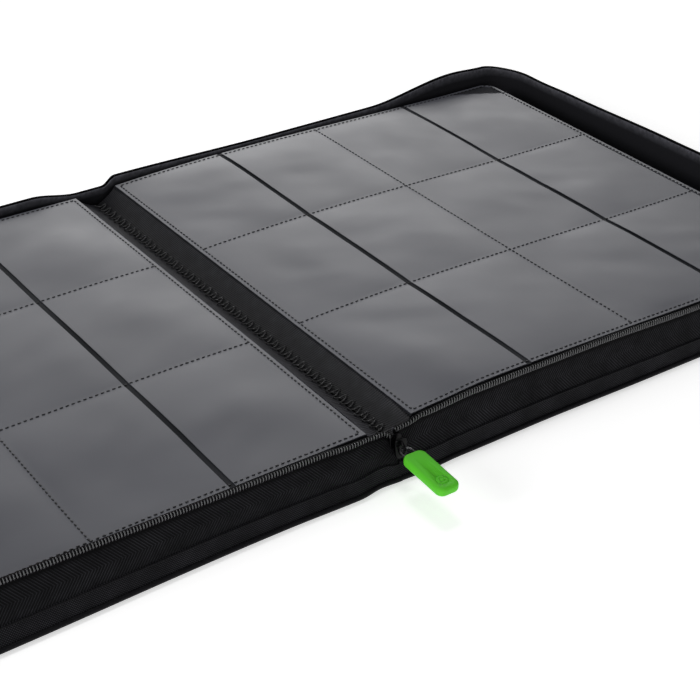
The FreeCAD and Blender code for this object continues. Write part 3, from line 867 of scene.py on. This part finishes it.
def build_walls():
    gusset_heights = np.linspace(COVER_FLOOR - 1.0, TAPE_FOOT + 0.5, 10)
    tape_heights = np.concatenate([np.linspace(TAPE_FOOT - 1.0, RIM_Z - 2.5, 14),
                                   np.linspace(RIM_Z - 1.9, RIM_Z + 2.1, 12)])
    # The tape's top edge stands inside the coil's turns.
    tape_out = -0.45 + 1.2 * ease((tape_heights - RIM_Z + 1.7) / 0.9)
    lining_heights = np.linspace(COVER_FLOOR - 0.4, RIM_Z + 1.7, 19)
    for side in HALVES:
        gusset = swept_shell(f"{side}_gusset", gusset_heights, 0.0, 1.2, GUSSET, side)
        tape = swept_shell(f"{side}_tape", tape_heights, tape_out, 0.8, TAPE, side, 0.9)
        inside = swept_shell(f"{side}_wall_lining", lining_heights, -1.35, 0.5, WALL_LINING,
                             side, -1.2)
        coil = coil_piece(side)
        seam = rim_tube(f"{side}_wall_seam", side, wall_out(TAPE_FOOT) + 0.1, TAPE_FOOT, 0.40)
        binding = rim_tube(f"{side}_binding", side, LEAN + 0.55, 2.2, 1.25, sides=12)
        ends = [f"{end}_gusset_{side}_side" for end in ("near", "far")]
        for piece, slot, nodes in ((gusset, "gusset", [f"{side}_wall_gusset", *ends]),
                                   (tape, "zip_tape", [f"{side}_zip_tape"]),
                                   (inside, "lining", []),
                                   (coil, "coil", [f"{side}_zip_teeth"]),
                                   (seam, "binding", []),
                                   (binding, "binding", [f"{side}_cover_piping"])):
            if nodes:
                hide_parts(*nodes)
            bend(piece, side, *WALL_BEND)


# ---------------- covers and spine
LINING_INSET = 1.2
COVER_BEND = (24.5, 30.5)
PANEL_START = 0.05       # each half's layers start beside the spine's middle line


def panel(name, base, thick, inset, material, side, edge=0.7):
    """A cover layer from the spine's middle out to its rounded fore edge, with soft edges."""
    outer = COVER_EDGE - inset
    half = COVER_HALF - inset
    radius = LEAN + RIM_CORNER - inset
    bow = np.sin(np.linspace(0, math.pi / 2, 16)[1:])
    columns = np.concatenate([spaced([PANEL_START, 20], 5), spaced([20, 34], 1.0)[1:],
                              spaced([34, outer - radius], 12)[1:],
                              outer - radius * (1 - bow)])
    ratio = np.array([-1, -0.997, -0.985, -0.95, -0.8, -0.5, -0.2, 0.2, 0.5, 0.8, 0.95, 0.985,
                      0.997, 1])
    beyond = np.clip(columns - (outer - radius), 0, radius)
    reach = half - radius + np.sqrt(np.maximum(radius ** 2 - beyond ** 2, 0))
    x = np.broadcast_to(columns[:, None], (len(columns), len(ratio)))
    y = reach[:, None] * ratio[None, :]
    y = y - foot_out(x, side) * ease((-ratio - 0.94) / 0.06)[None, :]
    from_edge = np.minimum(reach[:, None] * (1 - np.abs(ratio)), outer - x)
    soft = edge * (1 - ease(from_edge / 3.0)) * 0.5
    top = np.stack([x, y, np.full_like(x, base + thick) - soft], -1)
    low = np.stack([x, y, np.full_like(x, base) + soft], -1)
    return half_shell(name, side, top, low, material, np.stack([x, y], -1))


def build_covers():
    for side in HALVES:
        skin = panel(f"{side}_outer_skin_cloth", 0.0, SKIN_THICK, 0.0, SKIN, side)
        low, high = corners(f"{side}_cover_lining")
        lining = panel(f"{side}_lining_cloth", low[2], high[2] - low[2], LINING_INSET, LINING,
                       side, 0.2)
        for piece, layer, inset in ((skin, "outer_skin", 0.0), (lining, "lining", LINING_INSET)):
            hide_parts(f"{side}_cover_{layer}", f"spine_{layer}")
            bend(piece, side, *COVER_BEND)
    for node in ("back_cover_board", "front_cover_board", "spine_board"):
        frame["nodes"][node].data.materials.clear()
        frame["nodes"][node].data.materials.append(BOARD)


# ---------------- gutter
def valley(x):
    """Height of the gutter's cloth at X: the zigzag seam at the bottom, a leaf each side."""
    right = corners("right_leaf_backing")[1][2] - 0.5
    left = corners("left_leaf_backing")[1][2] + 0.2
    t = np.clip(np.abs(x) / (LEAF_INNER - 0.2), 0, 1)
    top = np.where(x > 0, right, left)
    return SEAM_Z + (top - SEAM_Z) * (0.55 * t + 0.45 * t ** 2.2)


def hinge_strip(name, side):
    """One ribbed wing of the gutter, from the seam up to the leaf's inner edge."""
    across = spaced([0.35, LEAF_INNER - 0.15], 0.9)
    along = spaced([-LEAF_HALF, LEAF_HALF], 3.0)
    x, y = np.meshgrid(across, along, indexing="ij")
    middle = np.sin(np.pi * across / across[-1])[:, None]
    sag = 0.35 * field(x, y, 24.0, 2.2 * HALVES[side]) * middle
    z = valley(x * HALVES[side]) + sag
    ends = ease((np.abs(y) - LEAF_HALF + 16) / 16)
    z = z - 2.2 * ends * (x / across[-1]) ** 1.5 * 0.5
    top = np.stack([x, y, z], -1)
    low = top - (0, 0, 0.9)
    strip = half_shell(name, side, top, low, RIB[side], np.stack([y, x], -1), 60.0)
    return strip


ZIGZAG_PITCH, ZIGZAG_HALF, ZIGZAG_THREAD = 5.9, 2.7, 0.38


def zigzag_line():
    """The glossy zigzag thread at the bottom of the gutter."""
    count = int((2 * LEAF_HALF - 6) / (ZIGZAG_PITCH / 2))
    y = np.linspace(-LEAF_HALF + 3, LEAF_HALF - 3, count * 6 + 1)
    phase = np.arange(len(y)) / 6
    saw = 1 - 2 * np.abs((phase % 2) - 1)
    x = ZIGZAG_HALF * np.tanh(1.9 * saw) / math.tanh(1.9) * -1 + 0.3
    z = valley(x) + 0.75 + 0.15 * np.cos(phase * math.pi)
    return np.stack([x, y, z], -1)


def build_gutter():
    pieces = [(hinge_strip(f"{node}_cloth", side), "hinge_cloth", node) for side, node in
              (("back", "right_hinge_strip"), ("front", "left_hinge_strip"))]
    seam = tube("zigzag_thread", zigzag_line(), ZIGZAG_THREAD, THREAD_GLOSS, sides=6)
    for piece, slot, node in [*pieces, (seam, "thread", "zigzag_seam")]:
        fit(piece, "spine", slot, node)
        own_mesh(piece)


# ---------------- slider and pull
def rounded_outline(half_x, half_y, radius, per_corner=8):
    """Points round a rounded rectangle."""
    points = []
    for quadrant, (cx, cy) in enumerate([(1, 1), (-1, 1), (-1, -1), (1, -1)]):
        turn = np.linspace(0, math.pi / 2, per_corner) + quadrant * math.pi / 2
        points += [(cx * (half_x - radius) + radius * math.cos(a),
                    cy * (half_y - radius) + radius * math.sin(a)) for a in turn]
    return np.array(points)


def pebble_block(half_x, half_y, half_z, corner, rounding, steps=6):
    """A rounded block: stacked outlines with rounded rims, closed by quads at both ends."""
    loops = []
    angles = np.linspace(math.pi / 2, 0, steps)
    for sign in (1, -1):
        part = []
        for a in angles:
            inset = rounding * (1 - math.cos(a))
            z = half_z - rounding * (1 - math.sin(a))
            outline = rounded_outline(half_x - inset, half_y - inset, max(corner - inset, 0.05))
            part.append(np.column_stack([outline, np.full(len(outline), sign * z)]))
        loops += part if sign > 0 else part[::-1]
    count = len(loops[0])
    inner = [loops[0] * (0.5, 0.8, 1), loops[-1] * (0.5, 0.8, 1)]
    loops = [inner[0], *loops, inner[1]]
    points = np.concatenate(loops)
    faces = []
    for i in range(len(loops) - 1):
        for j in range(count):
            k = (j + 1) % count
            faces.append([i * count + j, (i + 1) * count + j, (i + 1) * count + k, i * count + k])
    last = (len(loops) - 1) * count
    for j in range(count // 2 - 1):
        a, b, c, d = j, j + 1, count - 2 - j, count - 1 - j
        faces.append([a, b, c, d])
        faces.append([last + d, last + c, last + b, last + a])
    return points, np.array(faces)


PULL_LIFT = 0.9          # the loop rests high in the slider's bridge
PULL_DROOP = math.radians(4.0)


def pull_place(points):
    """Turn points from the pull's own frame, lying along -Y, to where the pull hangs."""
    pivot = next(j for j in frame["joints"] if j["name"] == "puller_swing")["pos_m"]
    cos, sin = math.cos(PULL_DROOP), math.sin(PULL_DROOP)
    x, y, z = np.moveaxis(points, -1, 0)
    turned = np.stack([x, y * cos - z * sin, y * sin + z * cos], -1)
    return turned + np.array(pivot) / MM + (0, 0, PULL_LIFT)


def build_pull():
    grip_low, grip_high = corners("pull_grip")
    grip_long, grip_thick, start = 29.5, 4.5, 6.0
    grip_wide = grip_high[0] - grip_low[0]
    points, faces = pebble_block(grip_wide / 2, grip_long / 2, grip_thick / 2, 3.6, 1.5)
    points[:, 1] -= start + grip_long / 2
    grip = make_piece("grip_moulding", pull_place(points), faces, GREEN, sharp=50.0)
    mark_y = -(start + grip_long - 6.6)
    turn = np.linspace(0, 2 * math.pi, 33)[:-1]
    for radius in (2.9, 1.2):
        line = np.column_stack([radius * np.cos(turn), radius * np.sin(turn) + mark_y,
                                np.full(32, grip_thick / 2)])
        cutter_points, cutter_faces = tube_mesh(line, 0.38, 8, closed=True)
        cutter = make_piece("mark_cutter", pull_place(cutter_points), cutter_faces, GREEN)
        cut = grip.modifiers.new("mark", "BOOLEAN")
        cut.operation = "DIFFERENCE"
        cut.object = cutter
        cut.solver = "EXACT"
        bpy.context.view_layer.objects.active = grip
        bpy.ops.object.modifier_apply(modifier="mark")
        bpy.data.objects.remove(cutter)
    fit(grip, "zip_puller", "green_rubber", "pull_grip")

    ring_radius, wire = 3.0, 0.5
    bow = [(ring_radius * math.sin(a), -ring_radius + ring_radius * math.cos(a), 0)
           for a in np.linspace(-math.pi / 2, math.pi / 2, 15)]
    rods = (9.5, 8.0, 6.5, 5.0, 4.0)
    line = ([(-ring_radius, -y, 0) for y in rods] + bow
            + [(ring_radius, -y, 0) for y in reversed(rods)])
    loop = tube("loop_wire", pull_place(np.array(line)), wire, WIRE, sides=12)
    fit(loop, "zip_puller", "black_metal", "puller_loop")


def build_slider():
    low, high = corners("slider_body")
    centre = (low + high) / 2
    size = high - low
    parts = []
    plate = 1.3
    for name, offset in (("outer", -(size[1] - plate) / 2), ("inner", (size[1] - plate) / 2)):
        points, faces = pebble_block(0.36 * size[0], size[2] / 2, plate / 2, 2.6, 0.45)
        taper = 1 - 0.25 * np.clip(-points[:, 1:2] / (size[2] / 2), 0, 1)
        points[:, 0:1] *= taper
        points = np.stack([points[:, 0], points[:, 2] + offset, points[:, 1]], -1)
        parts.append(make_piece(f"slider_{name}", points + centre, faces, METAL, flip=True))
    points, faces = pebble_block(1.3, 1.5, size[2] / 4, 0.8, 0.2)
    parts.append(make_piece("slider_post", points + centre + (0, 0, -size[2] / 5), faces, METAL))
    slider = join("slider_casting", parts)
    fit(slider, "zip_slider", "black_metal", "slider_body")
    ring = 3.0
    bridge_low, bridge_high = corners("slider_bridge")
    face_y = bridge_high[1]
    middle = (bridge_low[2] + bridge_high[2]) / 2
    arch = [(0, face_y + 0.3 - (ring + 0.3) * math.sin(a), middle + ring * math.cos(a))
            for a in np.linspace(0, math.pi, 17)]
    bridge = tube("slider_arch", np.array(arch), 0.72, METAL, sides=12)
    fit(bridge, "zip_slider", "black_metal", "slider_bridge")
    for end in ("near", "far"):
        low, high = corners(f"{end}_zip_stop")
        middle = (low + high) / 2
        half = (high - low) / 2
        points, faces = pebble_block(half[0], half[2], half[1], 0.9, 0.35)
        points = np.stack([points[:, 0], points[:, 2], points[:, 1]], -1) + middle
        stop = make_piece(f"{end}_stop_crimp", points, faces, METAL, flip=True)
        fit(stop, "spine", "black_metal", f"{end}_zip_stop")


# ---------------- studio
# Each light's place, its size in metres and its power; all three face the binder.
LIGHTS = {"overhead": ((0.1, 0.3, 1.9), (0.45, 0.4), 5),
          "left": ((-1.9, 0.1, 0.9), (0.6, 0.6), 13),
          "front": ((-0.9, -1.9, 0.55), (1.2, 0.8), 9)}
SKY_WINDOW = (0.482, 0.835, 0.266)
SKY_TIGHT, SKY_PEAK, SKY_BASE = 20.0, 2.85, 0.24
FLOOR_REACH, FLOOR_Z = 6000.0, -0.15
CAMERA_AT = (-0.3708, -0.6513, 0.4491)
CAMERA_DOWN, CAMERA_TURN, CAMERA_LENS = 31.40, -34.53, 86.55


def area_light(name, place, size, energy):
    light = bpy.data.lights.new(name, "AREA")
    light.shape = "RECTANGLE"
    light.size, light.size_y = size
    light.energy = energy
    lamp = add_object(name, light)
    lamp.location = place
    lamp.rotation_euler = (-Vector(place)).to_track_quat("-Z", "Y").to_euler()


def build_sky():
    """A dim even sky with one broad soft window beyond the binder."""
    world = bpy.data.worlds.new("studio_sky")
    bpy.context.scene.world = world
    world.use_nodes = True
    sky = Nodes(world.node_tree)
    background = sky.tree.nodes["Background"]
    background.inputs["Color"].default_value = (1, 1, 1, 1)
    facing = sky.tree.nodes.new("ShaderNodeVectorMath")
    facing.operation = "DOT_PRODUCT"
    facing.inputs[1].default_value = SKY_WINDOW
    sky.link(sky.coordinates("Generated"), facing.inputs[0])
    value = sky.math("MAXIMUM", facing.outputs["Value"], 0.0)
    value = sky.math("POWER", value, SKY_TIGHT)
    value = sky.math("MULTIPLY_ADD", value, SKY_PEAK, SKY_BASE)
    sky.link(value, background.inputs["Strength"])


def build_studio():
    white = grained("studio_floor", (0.93, 0.93, 0.93), 0.9, (2, 2, 0.995, 1.005),
                    Emission_Color=(1, 1, 1, 1), Emission_Strength=0.55)
    xy = np.array([(-1, -1), (1, -1), (1, 1), (-1, 1)]) * FLOOR_REACH
    points = np.column_stack([xy, np.full(4, FLOOR_Z)])
    make_piece("studio_floor", points, [[0, 1, 2, 3]], white)
    build_sky()
    for name, (place, size, energy) in LIGHTS.items():
        area_light(name, place, size, energy)

    camera_data = bpy.data.cameras.new("camera")
    camera = add_object("camera", camera_data)
    camera.location = CAMERA_AT
    camera.rotation_euler = (math.radians(90 - CAMERA_DOWN), 0, math.radians(CAMERA_TURN))
    camera_data.sensor_width = 36.0
    camera_data.lens = CAMERA_LENS
    camera_data.clip_start = 0.01
    bpy.context.scene.camera = camera
    bpy.context.scene.view_settings.view_transform = "Standard"


build_leaves()
build_walls()
build_covers()
build_gutter()
build_slider()
build_pull()
build_studio()
